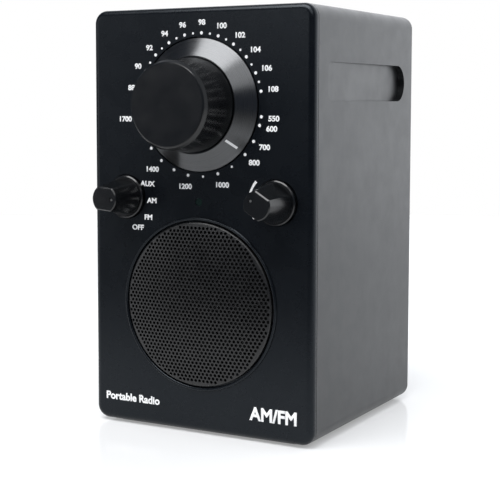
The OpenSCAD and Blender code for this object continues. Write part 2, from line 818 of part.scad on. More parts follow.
module small_screws() color([0.6, 0.6, 0.62]) on_front() {
    for (a = ear_angles) translate([0, speaker_z, 0]) rotate([0, 0, a])
        translate([ear_orbit, 0, 0]) rotate([0, 0, -a])
            small_screw(0, 0, flange_from + 1.2);
    for (a = planet_angles) translate([0, dial_z, 0]) rotate([0, 0, a + 60])
        small_screw(lug_r, 0, housing_from + 2);
    for (x = [-board_screw_x, board_screw_x])
        small_screw(x, board_screw_z, board_front + board_t);
    for (x = [-spacer_x, spacer_x], z = [spacer_low, spacer_high])
        small_screw(x, z, main_front + board_t);
    for (x = [pocket_l + 1, pocket_r - 1]) translate([x, pocket_high + 3,
        -jack_board_front]) screw(screw_r, 6, screw_head_r, screw_head_h);
}

// ---- Battery ---------------------------------------------------------------

module battery_door() color([0.13, 0.135, 0.145]) on_front() difference() {
    union() {
        slab(door_l + door_gap, door_r - door_gap, hinge_z, door_high - door_gap,
            body_d - door_t, body_d);
        translate([door_l + door_gap, hinge_z, -hinge_depth]) rotate([0, 90, 0])
            cylinder(r = hinge_r, h = door_r - door_l - 2 * door_gap);
        translate([door_l - stub_len + 0.3, hinge_z, -hinge_depth])
            rotate([0, 90, 0])
                cylinder(r = stub_r, h = door_r - door_l + 2 * stub_len - 0.6);
    }
    // finger notch and grip ribs at the free edge
    translate([(door_l + door_r) / 2, door_high + 4, -body_d]) sphere(r = 8);
    for (i = [0:4]) translate([(door_l + door_r) / 2, door_high - 15 - i * 2, 0])
        slab(-9, 9, 0, 1, body_d - 0.5, body_d + over);
}

module battery_tray() color([0.16, 0.165, 0.175]) on_front() difference() {
    slab(door_l - 0.3 - tray_t, door_r + 0.3 + tray_t, door_low - 0.6 - tray_t,
        door_high + tray_t, tray_front, back_in);
    slab(door_l - 0.3, door_r + 0.3, door_low - 0.6, door_high,
        tray_front + tray_t, back_in + over);
    // room for the door's hinge stubs
    translate([door_l - 4, hinge_z, -hinge_depth]) rotate([0, 90, 0])
        cylinder(r = stub_r + 0.6, h = door_r - door_l + 8);
}

cell_rows = [27, 42, 57];
cell_depths = [tray_front + tray_t + cell_r, tray_front + tray_t + 0.3 + 3 * cell_r];

module battery_cells() color([0.2, 0.42, 0.3]) on_front()
    for (z = cell_rows, d = cell_depths)
        translate([(door_l + door_r - cell_len) / 2, z, -d]) rotate([0, 90, 0]) {
            cylinder(r = cell_r, h = cell_len - 1.2);
            cylinder(r = 2.7, h = cell_len);
        }

module battery_links() color([0.75, 0.75, 0.72]) on_front() {
    x_left = (door_l + door_r - cell_len) / 2;
    for (z = cell_rows) slab(x_left - 0.3, x_left, z - 2.5, z + 2.5,
        cell_depths[0] - 3, cell_depths[1] + 3);
    for (i = [0, 1]) slab(x_left + cell_len, x_left + cell_len + 0.3,
        cell_rows[i] - 2.5, cell_rows[i + 1] + 2.5,
        cell_depths[i] - 2.5, cell_depths[i] + 2.5);
}

// ---- Sockets ---------------------------------------------------------------

module jack_board() color([0.1, 0.35, 0.18]) on_front() difference() {
    slab(pocket_l - 2, pocket_r + 2, 76, 99, jack_board_front,
        jack_board_front + board_t);
    for (x = [pocket_l + 1, pocket_r - 1]) translate([x, pocket_high + 3, 0])
        disc(screw_hole_r, jack_board_front - over, jack_board_front + 4);
}

// A socket for a small round plug: a body behind the wall and a neck through it
module plug_socket(x) translate([x, jack_z, 0]) difference() {
    union() {
        slab(-5, 5, -5.5, 5.5, jack_board_front + board_t, body_d - pocket_d - 2.5);
        disc(neck_r, body_d - pocket_d - 2.6, body_d - pocket_d + 0.6);
    }
    disc(plug_r, body_d - pocket_d - 11.4, body_d);
}

module aux_jack() color([0.1, 0.1, 0.11]) on_front() plug_socket(jack_xs[1]);
module headphone_jack() color([0.1, 0.1, 0.11]) on_front() plug_socket(jack_xs[2]);

module dc_jack() color([0.12, 0.12, 0.13]) on_front() translate([jack_xs[0], jack_z, 0]) {
    difference() {
        union() {
            slab(-5.5, 5.5, -5.5, 5.5, jack_board_front + board_t,
                body_d - pocket_d - 2.5);
            disc(neck_r, body_d - pocket_d - 2.6, body_d - pocket_d + 0.6);
        }
        disc(dc_r, body_d - pocket_d - 10, body_d);
    }
    disc(dc_pin_r, body_d - pocket_d - 10.5, body_d - pocket_d);
}

// ---- Rod antenna -----------------------------------------------------------

module on_rod() on_front(-rod_x, 0) children();

module across(x0, x1, r) translate([x0, pivot_z, -pivot_depth]) rotate([0, 90, 0])
    cylinder(r = r, h = x1 - x0);

module antenna_bracket() color([0.7, 0.71, 0.73]) on_rod() difference() {
    union() {
        slab(-4.3, 4.3, channel_low + 0.3, 30, body_d - channel_d,
            body_d - channel_d + 1.4);
        for (s = [-1, 1]) {
            slab(s > 0 ? 2.5 : -4.3, s > 0 ? 4.3 : -2.5, channel_low + 0.3, pivot_z,
                body_d - channel_d, pivot_depth + 2.4);
            across(s > 0 ? 2.5 : -4.3, s > 0 ? 4.3 : -2.5, 3);
        }
    }
    across(-5, 5, pivot_r);
}

module antenna_pin() color([0.8, 0.81, 0.83]) on_rod() across(-4.2, 4.2, pivot_r);

module antenna_knuckle() color([0.75, 0.76, 0.78]) on_rod() difference() {
    union() {
        across(-knuckle_w / 2, knuckle_w / 2, knuckle_r);
        slab(-knuckle_w / 2, knuckle_w / 2, pivot_z, tube_low - 0.5,
            pivot_depth - 2.2, pivot_depth + 2.2);
        upright(tube_out(0), tube_low - 2, tube_low);
        upright(tube_out(0) - tube_wall - 0.01, tube_low - 1, tube_low + 3);
    }
    across(-5, 5, pivot_r + fit);
}

module upright(r, z0, z1) translate([0, z0, -pivot_depth]) rotate([-90, 0, 0])
    cylinder(r = r, h = z1 - z0);

// Tube i of the rod: 0 is the base tube, the others slide inside it
module rod_tube(i) {
    low = tube_low + (i > 0 ? 3.4 + i * 0.6 : 0);
    high = tube_low + rod_len + i * step_up;
    difference() {
        upright(tube_out(i), low, high);
        upright(tube_out(i) - tube_wall, low - over, high + over);
    }
}

module antenna_tube() color([0.82, 0.83, 0.85]) on_rod() rod_tube(0);
module antenna_section_1() color([0.84, 0.85, 0.87]) on_rod() rod_tube(1);
module antenna_section_2() color([0.86, 0.87, 0.89]) on_rod() rod_tube(2);

module antenna_section_3() color([0.88, 0.89, 0.9]) on_rod()
    upright(tube_out(rod_sections), tube_low + 3.4 + rod_sections * 0.6,
        tube_low + rod_len + rod_sections * step_up);

module antenna_tip() color([0.8, 0.81, 0.83]) on_rod() {
    tip_low = tube_low + rod_len + rod_sections * step_up;
    upright(rod_r, tip_low, tip_low + 6);
    upright(rod_r - 0.7, tip_low + 5.9, tip_low + 7.2);
}

cabinet_shell();
front_panel();
panel_gasket();
case_screws();
foot_pad();
speaker_grille();
speaker_gasket();
speaker_basket();
speaker_surround();
speaker_cone();
voice_coil();
speaker_spider();
speaker_top_plate();
speaker_magnet();
speaker_yoke();
small_screws();
tuning_knob();
sun_gear_shaft();
dial_ring();
planet_carrier();
carrier_plate();
planet_gear_1();
planet_gear_2();
planet_gear_3();
vernier_housing();
vernier_back();
capacitor_frame();
capacitor_stator();
capacitor_rotor();
selector_knob();
selector_shaft();
selector_switch();
volume_knob();
volume_shaft();
volume_pot();
status_led();
control_board();
main_board();
board_spacers();
board_chips();
shield_cans();
ferrite_rod();
ferrite_coil();
ferrite_clips();
battery_door();
battery_tray();
battery_cells();
battery_links();
jack_board();
aux_jack();
headphone_jack();
dc_jack();
antenna_bracket();
antenna_pin();
antenna_knuckle();
antenna_tube();
antenna_section_1();
antenna_section_2();
antenna_section_3();
antenna_tip();
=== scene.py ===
"""Looks of a portable table radio: satin black moulded cabinet, printed dial scale,
spun metal dial ring, perforated loudspeaker grille and a chromed rod antenna.
Metres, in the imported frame: X to the right of the front, Y back, Z up."""
import json
import math

import bmesh
import bpy
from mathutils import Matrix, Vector
from mathutils.geometry import delaunay_2d_cdt


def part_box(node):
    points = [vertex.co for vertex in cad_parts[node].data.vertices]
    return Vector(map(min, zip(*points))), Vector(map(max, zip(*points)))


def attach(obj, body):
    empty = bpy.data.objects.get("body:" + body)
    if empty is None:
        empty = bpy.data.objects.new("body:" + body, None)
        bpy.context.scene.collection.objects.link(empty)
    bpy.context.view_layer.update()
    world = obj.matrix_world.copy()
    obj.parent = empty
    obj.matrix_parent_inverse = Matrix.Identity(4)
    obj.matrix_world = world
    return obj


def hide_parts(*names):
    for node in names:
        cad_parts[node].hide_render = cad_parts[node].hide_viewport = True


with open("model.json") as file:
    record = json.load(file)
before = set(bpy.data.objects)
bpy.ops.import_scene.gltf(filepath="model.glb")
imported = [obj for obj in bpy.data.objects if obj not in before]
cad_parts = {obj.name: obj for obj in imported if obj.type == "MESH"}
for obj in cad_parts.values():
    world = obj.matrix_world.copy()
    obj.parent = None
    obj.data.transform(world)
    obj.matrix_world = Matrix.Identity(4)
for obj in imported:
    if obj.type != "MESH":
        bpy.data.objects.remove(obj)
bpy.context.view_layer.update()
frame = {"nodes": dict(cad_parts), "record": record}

MM = 0.001


# ---- Places, all read from the frame ---------------------------------------

def middle(node):
    """Centre of a CAD node's box, as x and z on the front face."""
    low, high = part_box(node)
    return (low.x + high.x) / 2, (low.z + high.z) / 2


FRONT_Y = -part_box("cabinet_shell")[1].y        # the cabinet is centred on Y = 0
DIAL_X, DIAL_Z = middle("dial_ring")
SELECTOR_X, SELECTOR_Z = middle("selector_shaft")
VOLUME_X, VOLUME_Z = middle("volume_shaft")
SPEAKER_X, SPEAKER_Z = middle("speaker_grille")


# ---- Camera, light and floor -------------------------------------------------

CAMERA_PLACE = (0.2378, -0.4509, 0.1242)
CAMERA_PITCH = 4.863
CAMERA_AZIMUTH = 29.77
CAMERA_LENS, CAMERA_SENSOR = 91.56, 36         # both in millimetres
CAMERA_SHIFT = (0.0693, -0.08)


def make_camera():
    data = bpy.data.cameras.new("camera")
    data.lens = CAMERA_LENS
    data.sensor_width = CAMERA_SENSOR
    data.shift_x, data.shift_y = CAMERA_SHIFT
    camera = bpy.data.objects.new("camera", data)
    camera.location = CAMERA_PLACE
    camera.rotation_euler = (math.radians(90 - CAMERA_PITCH), 0, math.radians(CAMERA_AZIMUTH))
    bpy.context.scene.collection.objects.link(camera)
    bpy.context.scene.camera = camera


def soft_box(name, place, aim, width, height, watts):
    """A rectangular studio light that faces the point aim."""
    data = bpy.data.lights.new(name, "AREA")
    data.shape = "RECTANGLE"
    data.size = width
    data.size_y = height
    data.energy = watts
    light = bpy.data.objects.new(name, data)
    light.location = place
    light.rotation_euler = (Vector(aim) - Vector(place)).to_track_quat("-Z", "Y").to_euler()
    bpy.context.scene.collection.objects.link(light)


RADIO_MIDDLE, RADIO_LOW = (0, 0, 0.1), (0, 0, 0.06)
SOFT_BOXES = (                     # name, place, aim, width, height, watts
    ("overhead", (-0.08, -0.5, 1.1), RADIO_MIDDLE, 0.95, 0.75, 17),
    ("right_front", (0.55, -0.76, 0.78), RADIO_MIDDLE, 0.65, 0.6, 2.9),
    ("left_fill", (-1.15, -0.95, 0.22), RADIO_MIDDLE, 0.6, 0.7, 1.9),
    ("grille_kick", (-0.45, -1.1, 0.34), RADIO_LOW, 0.3, 0.2, 0.5),
)


def map_range(nodes, links, source, low, high, to_low, to_high):
    """A socket that carries source, taken from one range to another."""
    made = nodes.new("ShaderNodeMapRange")
    for socket, value in (("From Min", low), ("From Max", high), ("To Min", to_low),
            ("To Max", to_high)):
        made.inputs[socket].default_value = value
    links.new(source, made.inputs["Value"])
    return made.outputs["Result"]


BRIGHT_SIDE = (0.35, 0.93, 0)
ROOM_STRENGTH = 1.95
# how far a direction is turned to the bright side, 0 to 1, and the room's tone there
ROOM_TONES = ((0.5, (0.04, 0.049, 0.066, 1)), (0.92, (0.95, 0.97, 1, 1)))


def make_world():
    """White to the camera; as light, bright behind the radio and dim before it."""
    world = bpy.data.worlds.new("studio")
    world.use_nodes = True
    nodes, links = world.node_tree.nodes, world.node_tree.links
    nodes.clear()
    direction = nodes.new("ShaderNodeTexCoord")
    towards = nodes.new("ShaderNodeVectorMath")
    towards.operation = "DOT_PRODUCT"
    towards.inputs[1].default_value = BRIGHT_SIDE
    links.new(direction.outputs["Generated"], towards.inputs[0])
    share = map_range(nodes, links, towards.outputs["Value"], -1, 1, 0, 1)
    ramp = nodes.new("ShaderNodeValToRGB")
    ramp.color_ramp.interpolation = "EASE"
    for stop, (turned, tone) in zip(ramp.color_ramp.elements, ROOM_TONES):
        stop.position, stop.color = turned, tone
    links.new(share, ramp.inputs["Fac"])
    room = nodes.new("ShaderNodeBackground")
    room.inputs["Strength"].default_value = ROOM_STRENGTH
    links.new(ramp.outputs["Color"], room.inputs["Color"])
    paper = nodes.new("ShaderNodeBackground")
    paper.inputs["Color"].default_value = (1, 1, 1, 1)
    rays = nodes.new("ShaderNodeLightPath")
    mix = nodes.new("ShaderNodeMixShader")
    links.new(rays.outputs["Is Camera Ray"], mix.inputs["Fac"])
    links.new(room.outputs["Background"], mix.inputs[1])
    links.new(paper.outputs["Background"], mix.inputs[2])
    output = nodes.new("ShaderNodeOutputWorld")
    links.new(mix.outputs["Shader"], output.inputs["Surface"])
    bpy.context.scene.world = world


FLOOR_R, FLOOR_SIDES = 0.9, 96
FLOOR_GLOW = 0.3
FLOOR_TONE = (0.55, 0.555, 0.56, 1)
FLOOR_ROUGHNESS, FLOOR_IOR = 0.12, 1.1
SHADE_END, SHADE_START = -0.3, -0.13           # places along Y
SHADE_SHARE = 0.1                              # of the light that is left in the shade


def make_floor():
    """A round white table top with a faint sheen and a glow, under the foot pad."""
    mesh = bpy.data.meshes.new("floor")
    rim = [(x, y, 0) for x, y in circle(0, 0, FLOOR_R, FLOOR_SIDES)]
    mesh.from_pydata(rim, [], [tuple(range(len(rim)))])
    floor = bpy.data.objects.new("floor", mesh)
    material = bpy.data.materials.new("floor_white")
    material.use_nodes = True
    nodes, links = material.node_tree.nodes, material.node_tree.links
    shader = nodes["Principled BSDF"]
    shader.inputs["Emission Color"].default_value = (1, 1, 1, 1)
    shader.inputs["Roughness"].default_value = FLOOR_ROUGHNESS
    shader.inputs["IOR"].default_value = FLOOR_IOR
    # the radio sees the table's near end in shade, the camera sees all of it lit
    place = nodes.new("ShaderNodeTexCoord")
    axes = nodes.new("ShaderNodeSeparateXYZ")
    links.new(place.outputs["Object"], axes.inputs["Vector"])
    rays = nodes.new("ShaderNodeLightPath")
    lit = nodes.new("ShaderNodeMath")
    lit.operation = "MAXIMUM"
    shade = map_range(nodes, links, axes.outputs["Y"], SHADE_END, SHADE_START, SHADE_SHARE, 1)
    links.new(shade, lit.inputs[0])
    links.new(rays.outputs["Is Camera Ray"], lit.inputs[1])
    glow = map_range(nodes, links, lit.outputs["Value"], 0, 1, 0, FLOOR_GLOW)
    links.new(glow, shader.inputs["Emission Strength"])
    tone = nodes.new("ShaderNodeValToRGB")
    tone.color_ramp.elements[0].color = (0, 0, 0, 1)
    tone.color_ramp.elements[1].color = FLOOR_TONE
    links.new(lit.outputs["Value"], tone.inputs["Fac"])
    links.new(tone.outputs["Color"], shader.inputs["Base Color"])
    mesh.materials.append(material)
    bpy.context.scene.collection.objects.link(floor)


# ---- Materials ---------------------------------------------------------------

class Surface:
    """A node material in the making, on the object's own coordinates."""

    def __init__(self, name, roughness=0.5, metallic=0.0):
        self.material = bpy.data.materials.new(name)
        self.material.use_nodes = True
        self.nodes = self.material.node_tree.nodes
        self.links = self.material.node_tree.links
        self.shader = self.nodes["Principled BSDF"]
        self.set("Roughness", roughness)
        self.set("Metallic", metallic)
        self.place = self.nodes.new("ShaderNodeTexCoord").outputs["Object"]
        self.height = None

    def set(self, socket, value):
        """One value all over the surface, on the shader's own socket."""
        self.shader.inputs[socket].default_value = value
        return self

    def noise(self, scale, detail=2.0, stretch=None):
        """Noise of so many cells a metre, longer along an axis where stretch is below 1."""
        made = self.nodes.new("ShaderNodeTexNoise")
        made.inputs["Scale"].default_value = scale
        made.inputs["Detail"].default_value = detail
        source = self.place
        if stretch:
            mapping = self.nodes.new("ShaderNodeMapping")
            mapping.inputs["Scale"].default_value = stretch
            self.links.new(source, mapping.inputs["Vector"])
            source = mapping.outputs["Vector"]
        self.links.new(source, made.inputs["Vector"])
        return made.outputs["Fac"]

    def colour(self, source, colours, positions=(0.35, 0.65)):
        """Base colour: two colours, reached where source has the two positions."""
        made = self.nodes.new("ShaderNodeValToRGB")
        for stop, position, colour in zip(made.color_ramp.elements, positions, colours):
            stop.position = position
            stop.color = (*colour, 1)
        self.links.new(source, made.inputs["Fac"])
        self.links.new(made.outputs["Color"], self.shader.inputs["Base Color"])
        return self

    def gloss(self, source, low, high):
        """Roughness from low to high over the middle of source's range."""
        rough = map_range(self.nodes, self.links, source, 0.3, 0.7, low, high)
        self.links.new(rough, self.shader.inputs["Roughness"])
        return self

    def relief(self, source, depth):
        """Raises the surface by source times depth, on top of any relief so far."""
        bump = self.nodes.new("ShaderNodeBump")
        bump.inputs["Strength"].default_value = 1.0
        bump.inputs["Distance"].default_value = depth
        self.links.new(source, bump.inputs["Height"])
        if self.height:
            self.links.new(self.height, bump.inputs["Normal"])
        self.height = bump.outputs["Normal"]
        self.links.new(self.height, self.shader.inputs["Normal"])
        return self

    def bands(self, scale, axis, distortion=0.0):
        """Fine parallel bands across an axis, so many a metre."""
        made = self.nodes.new("ShaderNodeTexWave")
        made.bands_direction = axis
        made.inputs["Scale"].default_value = scale
        made.inputs["Distortion"].default_value = distortion
        self.links.new(self.place, made.inputs["Vector"])
        return made.outputs["Fac"]

    def around(self, x, z):
        """Distance from an axis that runs along Y through x and z."""
        mapping = self.nodes.new("ShaderNodeMapping")
        mapping.inputs["Location"].default_value = (-x, 0, -z)
        mapping.inputs["Scale"].default_value = (1, 0, 1)
        self.links.new(self.place, mapping.inputs["Vector"])
        length = self.nodes.new("ShaderNodeVectorMath")
        length.operation = "LENGTH"
        self.links.new(mapping.outputs["Vector"], length.inputs[0])
        return length.outputs["Value"]


def plastic(name, dark, light, low, high, grain=2600, depth=6e-6):
    """Moulded plastic: a slight drift of tone, uneven gloss and a fine spark-eroded grain."""
    made = Surface(name)
    made.colour(made.noise(45), [dark, light])
    made.gloss(made.noise(160, 4), low, high)
    made.relief(made.noise(grain, 3), depth)
    return made


def cabinet_plastic():
    made = plastic("cabinet_plastic", (0.004, 0.0044, 0.005), (0.0055, 0.006, 0.0066), 0.33, 0.39)
    made.set("Specular Tint", (0.93, 0.96, 1, 1))
    return made.relief(made.noise(14, 1), 5e-5)


def front_plastic():
    made = plastic("front_plastic", (0.002, 0.0028, 0.0042), (0.003, 0.0038, 0.0052), 0.25, 0.3)
    return made.set("Specular IOR Level", 0.29).set("Specular Tint", (0.82, 0.91, 1, 1))


def knob_plastic():
    """Turned-looking knobs: fine streaks run along their sides."""
    made = plastic("knob_plastic", (0.003, 0.0035, 0.0042), (0.004, 0.0045, 0.0052), 0.2, 0.26,
        2000, 2e-6)
    return made.relief(made.noise(700, 2, (1, 0.04, 1)), 1.6e-7)


def rubber():
    return plastic("black_rubber", (0.012, 0.012, 0.012), (0.022, 0.022, 0.022), 0.7, 0.85,
        1500, 3e-5)


def grille_paint():
    made = Surface("grille_paint")
    made.colour(made.noise(120), [(0.007, 0.007, 0.0073), (0.010, 0.010, 0.0104)])
    made.gloss(made.noise(300, 3), 0.26, 0.36)
    return made.relief(made.noise(5000, 2), 4e-6)


def spun_metal():
    """Dark metal turned on a lathe: concentric tool marks and a streaked sheen."""
    made = Surface("spun_metal", 0.3, 1.0)
    made.set("Anisotropic", 0.75).set("Anisotropic Rotation", 0.25)
    tangent = made.nodes.new("ShaderNodeTangent")
    tangent.direction_type = "RADIAL"
    tangent.axis = "Y"
    made.links.new(tangent.outputs["Tangent"], made.shader.inputs["Tangent"])
    radius = made.around(DIAL_X, DIAL_Z)
    groove = made.nodes.new("ShaderNodeTexNoise")
    groove.noise_dimensions = "1D"
    groove.inputs["Scale"].default_value = 9000
    groove.inputs["Detail"].default_value = 3
    made.links.new(radius, groove.inputs["W"])
    made.colour(groove.outputs["Fac"], [(0.085, 0.087, 0.09), (0.12, 0.122, 0.125)])
    made.gloss(groove.outputs["Fac"], 0.26, 0.36)
    return made.relief(groove.outputs["Fac"], 3e-6)


def metal(name, dark, light, low, high, stretch=(1, 1, 1)):
    """Bare metal: a slight drift of tone, and streaks in its gloss and relief."""
    made = Surface(name, metallic=1.0)
    made.colour(made.noise(90, 3), [dark, light])
    streaks = made.noise(2200, 3, stretch)
    made.gloss(streaks, low, high)
    return made.relief(streaks, 2e-6)


def steel():
    return metal("zinc_steel", (0.5, 0.51, 0.53), (0.6, 0.61, 0.64), 0.28, 0.42)


def chrome():
    return metal("bright_chrome", (0.74, 0.75, 0.77), (0.82, 0.83, 0.85), 0.05, 0.12, (1, 1, 0.05))


def aluminium():
    return metal("machined_aluminium", (0.62, 0.63, 0.65), (0.74, 0.75, 0.77), 0.25, 0.4,
        (1, 0.1, 1))


def brass():
    return metal("machined_brass", (0.6, 0.43, 0.17), (0.75, 0.56, 0.25), 0.22, 0.36, (1, 0.1, 1))


def nickel():
    return metal("nickel_strip", (0.58, 0.57, 0.52), (0.7, 0.69, 0.64), 0.24, 0.38, (0.1, 1, 1))


def paper():
    made = Surface("cone_paper", 0.8)
    made.colour(made.noise(600, 4), [(0.02, 0.02, 0.021), (0.05, 0.05, 0.052)])
    return made.relief(made.noise(1400, 5), 5e-5)


def copper():
    made = Surface("copper_winding", 0.3, 1.0)
    turns = made.bands(1500, "X", 0.4)
    made.colour(turns, [(0.3, 0.12, 0.05), (0.7, 0.36, 0.18)])
    return made.relief(turns, 6e-5)


def ferrite():
    made = Surface("sintered_ferrite", 0.55)
    made.colour(made.noise(800, 4), [(0.025, 0.023, 0.023), (0.05, 0.046, 0.045)])
    return made.relief(made.noise(1800, 3), 2e-5)


def board():
    """Green glass-epoxy board: copper tracks show through the lacquer."""
    made = Surface("circuit_board", 0.35)
    cells = made.nodes.new("ShaderNodeTexVoronoi")
    cells.distance = "CHEBYCHEV"
    cells.feature = "F1"
    cells.inputs["Scale"].default_value = 260
    made.links.new(made.place, cells.inputs["Vector"])
    made.colour(cells.outputs["Distance"], [(0.02, 0.14, 0.06), (0.01, 0.075, 0.035)], [0.25, 0.3])
    return made.relief(cells.outputs["Distance"], 2e-5)


def black_parts():
    return plastic("black_moulding", (0.008, 0.008, 0.009), (0.016, 0.016, 0.017), 0.3, 0.42, 2200)


def lens():
    made = Surface("green_lens", 0.12)
    made.set("Coat Weight", 0.6).set("Coat Roughness", 0.05)
    return made.colour(made.noise(900, 2), [(0.002, 0.009, 0.005), (0.003, 0.014, 0.008)])


def cell_sleeve():
    made = Surface("cell_sleeve", 0.28)
    made.colour(made.bands(30, "X"), [(0.02, 0.16, 0.08), (0.6, 0.6, 0.58)], [0.86, 0.9])
    return made.relief(made.noise(300, 2), 3e-5)


def nylon():
    return plastic("natural_nylon", (0.6, 0.58, 0.5), (0.72, 0.7, 0.62), 0.4, 0.5)


def white_ink():
    made = Surface("white_ink", 0.45)
    made.colour(made.noise(700, 3), [(0.9, 0.9, 0.9), (0.97, 0.97, 0.97)])
    return made.relief(made.noise(3000, 2), 3e-6)


# pale grey for the painted highlight at the bottom of each small knob's dimple
def index_paint():
    made = Surface("index_paint", 0.5)
    made.colour(made.noise(2000, 3), [(0.22, 0.22, 0.22), (0.34, 0.34, 0.34)])
    return made.relief(made.noise(6000, 2), 3e-6)


SLOT_SURFACES = {
    "cabinet": cabinet_plastic, "front": front_plastic, "rubber": rubber,
    "grille": grille_paint, "knob": knob_plastic, "dial_metal": spun_metal,
    "steel": steel, "chrome": chrome, "aluminium": aluminium, "brass": brass,
    "paper": paper, "copper": copper, "ferrite": ferrite, "board": board,
    "black_parts": black_parts, "lens": lens, "cell": cell_sleeve,
    "nickel": nickel, "nylon": nylon,
}


def dress_cad_nodes(surfaces):
    """Gives each CAD node the finish of its record slot."""
    for subpart in frame["record"]["subparts"]:
        node = frame["nodes"][subpart["node"]]
        for held in node.material_slots:
            held.material = surfaces[subpart["material_slot"]]


# ---- Mesh helpers ------------------------------------------------------------

MERGE_WITHIN = 1e-6


def finish_piece(name, shape, material, body):
    """Turns a bmesh into a piece that rides on a body."""
    bmesh.ops.remove_doubles(shape, verts=shape.verts, dist=MERGE_WITHIN)
    bmesh.ops.recalc_face_normals(shape, faces=shape.faces)
    mesh = bpy.data.meshes.new(name)
    shape.to_mesh(mesh)
    shape.free()
    mesh.materials.append(material)
    piece = bpy.data.objects.new(name, mesh)
    bpy.context.scene.collection.objects.link(piece)
    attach(piece, body)
    return piece


def add_prism(shape, outline, thickness, place):
    """A closed prism on a flat outline; place turns (u, v, height) into a point."""
    low = [shape.verts.new(place(u, v, 0)) for u, v in outline]
    high = [shape.verts.new(place(u, v, thickness)) for u, v in outline]
    shape.faces.new(high)
    shape.faces.new(low[::-1])
    for i in range(len(outline)):
        j = (i + 1) % len(outline)
        shape.faces.new([low[i], low[j], high[j], high[i]])


def circle(x, z, radius, sides, turn=0.0):
    """Corners of a regular polygon, turned by a share of one side."""
    steps = [2 * math.pi * (i + turn) / sides for i in range(sides)]
    return [(x + radius * math.cos(a), z + radius * math.sin(a)) for a in steps]


def polar(x, z, radius, degrees):
    """A point on a circle about x, z."""
    a = math.radians(degrees)
    return x + radius * math.cos(a), z + radius * math.sin(a)


# ---- Print on the front --------------------------------------------------------

INK_BURIED = 0.03 * MM             # how far the print starts under the face
INK = 0.07 * MM                    # thickness of the print
CAP_SHARE = 0.729                  # height of a capital in the built-in typeface
DOT_ORBIT, DOT_SIDES = 26.3 * MM, 20
DOT_LARGE, DOT_SMALL = 0.6 * MM, 0.44 * MM
FM_RISE, AM_RISE = 3.85 * MM, 4.2 * MM          # from a dot to its number, upwards
LABEL_REACH = {2: 3.85 * MM, 3: 5.1 * MM, 4: 6.3 * MM}   # and sideways, by digits
NUMBER_HEIGHT = 1.95 * MM
FM_FIRST, FM_STEP, FM_BEND = 167.5, -8.2, 0.0185         # degrees at 88, and for each MHz
AM_FIRST, AM_STEP = -16, -0.14                           # degrees at 600, and for each kHz
AM_UNEVEN = {550: -9, 700: -29.5, 800: -42.5}
SELECTOR_NAMES = (                 # and each one's place, right and up from the shaft in mm
    ("AUX", 9.6, 5.2), ("AM", 11.4, -1.1), ("FM", 9.9, -7.5), ("OFF", 5.2, -11.5),
)
WEDGE_LOUD, WEDGE_QUIET, WEDGE_STEPS = 137, 215, 24      # degrees of its two ends
WEDGE_ORBIT = 10.9 * MM
WEDGE_HALF, WEDGE_LOSS = 0.5 * MM, 0.35 * MM             # half width at its loud end, and taper
FRONT_WORDS = (                    # text, x, z, letter height in mm, squeeze, align
    ("Portable Radio", -41.8, 10.4, 2.95, 1.01, 0), ("AM/FM", 31, 10.6, 4.9, 0.96, 0.5),
)
WORD_WEIGHT = 0.035


def on_front(u, v, height):
    """A point of the print: height 0 is just under the face."""
    return u, FRONT_Y + INK_BURIED - height, v


def add_text(shape, text, x, z, height, squeeze=1.1, weight=0.04, align=0.5):
    """Raised letters with their box's middle, or its left edge for align 0, at x, z."""
    curve = bpy.data.curves.new("letters", "FONT")
    curve.body = text
    curve.bevel_depth = weight
    curve.bevel_resolution = 0
    curve.extrude = 0.5
    letters = bpy.data.objects.new("letters", curve)
    bpy.context.scene.collection.objects.link(letters)
    graph = bpy.context.evaluated_depsgraph_get()
    mesh = bpy.data.meshes.new_from_object(letters.evaluated_get(graph))
    bpy.data.objects.remove(letters)
    corners = [v.co for v in mesh.vertices]
    left, right = min(c.x for c in corners), max(c.x for c in corners)
    low, high = min(c.y for c in corners), max(c.y for c in corners)
    scale = height / CAP_SHARE         # the letters are made at a size of 1
    for vertex in mesh.vertices:
        u = x + squeeze * scale * (vertex.co.x - left - align * (right - left))
        v = z + scale * (vertex.co.y - (low + high) / 2)
        vertex.co = on_front(u, v, INK * (vertex.co.z + 0.5))
    shape.from_mesh(mesh)
    bpy.data.meshes.remove(mesh)


def fm_angle(megahertz):
    """Place of an FM frequency on the upper half of the scale."""
    step = megahertz - 88
    return FM_FIRST + FM_STEP * step + FM_BEND * step * step


def am_angle(kilohertz):
    """Place of an AM frequency on the lower half of the scale."""
    return AM_UNEVEN.get(kilohertz, AM_FIRST + AM_STEP * (kilohertz - 600))


def make_scale(ink):
    """Dots and numbers around the dial: FM on the upper half, AM on the lower."""
    dots = bmesh.new()
    numbers = bmesh.new()

    def dot(degrees, radius):
        x, z = polar(DIAL_X, DIAL_Z, DOT_ORBIT, degrees)
        add_prism(dots, circle(x, z, radius, DOT_SIDES), INK, on_front)

    def number(text, degrees, rise):
        x, z = polar(DIAL_X, DIAL_Z, DOT_ORBIT, degrees)
        x += LABEL_REACH[len(text)] * math.cos(math.radians(degrees))
        z += rise * math.sin(math.radians(degrees))
        add_text(numbers, text, x, z, NUMBER_HEIGHT)

    for megahertz in range(88, 109):
        is_even = megahertz % 2 == 0
        dot(fm_angle(megahertz), DOT_LARGE if is_even else DOT_SMALL)
        if is_even:
            number(str(megahertz), fm_angle(megahertz), FM_RISE)
    for kilohertz in [550, *range(600, 1800, 100)]:
        dot(am_angle(kilohertz), DOT_SMALL if kilohertz in (900, 1100) else DOT_LARGE)
        if kilohertz in (550, 600, 700, 800, 1000, 1200, 1400, 1700):
            number(str(kilohertz), am_angle(kilohertz), AM_RISE)
    finish_piece("scale_dots", dots, ink, "radio")
    finish_piece("scale_numbers", numbers, ink, "radio")


